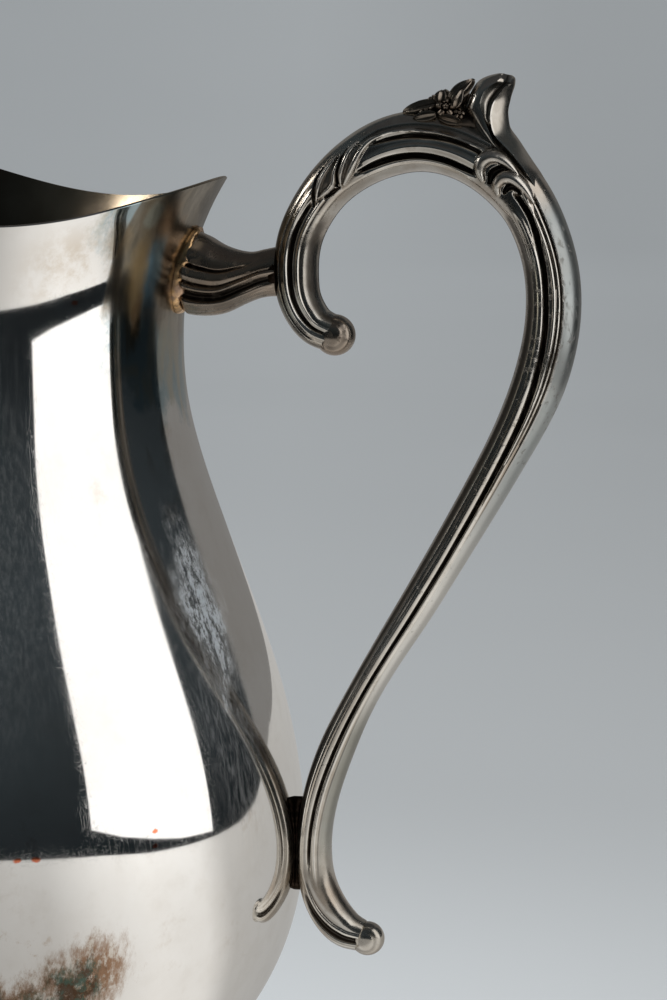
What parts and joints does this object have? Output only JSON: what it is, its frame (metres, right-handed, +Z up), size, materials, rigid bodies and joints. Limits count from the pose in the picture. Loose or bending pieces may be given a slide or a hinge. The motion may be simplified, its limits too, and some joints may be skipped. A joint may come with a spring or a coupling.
{
  "type": "water pitcher",
  "caption": "Silver-plated water pitcher with a pear-shaped body, flared wavy lip, pulled spout, low foot ring and a fluted scroll handle with a floral thumb rest.",
  "frame": {"origin": "centre of the foot ring's flat underside, on the body's axis", "axes": "+Z up along the body's axis, +X towards the handle, -X towards the spout, mirror symmetric about Y = 0"},
  "size_m": [0.2277, 0.1566, 0.228],
  "materials": {
    "body_silver": "polished silver plate over brass, lightly scratched, tarnished in places",
    "handle_silver": "cast silver plate with dark patina in the flutes",
    "arm_silver": "cast silver plate, heavily tarnished brown",
    "solder": "dull, discoloured solder"
  },
  "bodies": {
    "root": {"body": "body_silver", "foot_ring": "body_silver", "foot_solder": "solder", "neck_collar": "solder", "upper_arm": "arm_silver", "arm_solder": "solder", "handle_near_half": "handle_silver", "handle_far_half": "handle_silver", "upper_knob": "handle_silver", "lower_knob": "handle_silver", "thumb_leaf": "handle_silver", "flower_spray": "arm_silver", "belly_solder": "solder"}
  },
  "joints": []
}
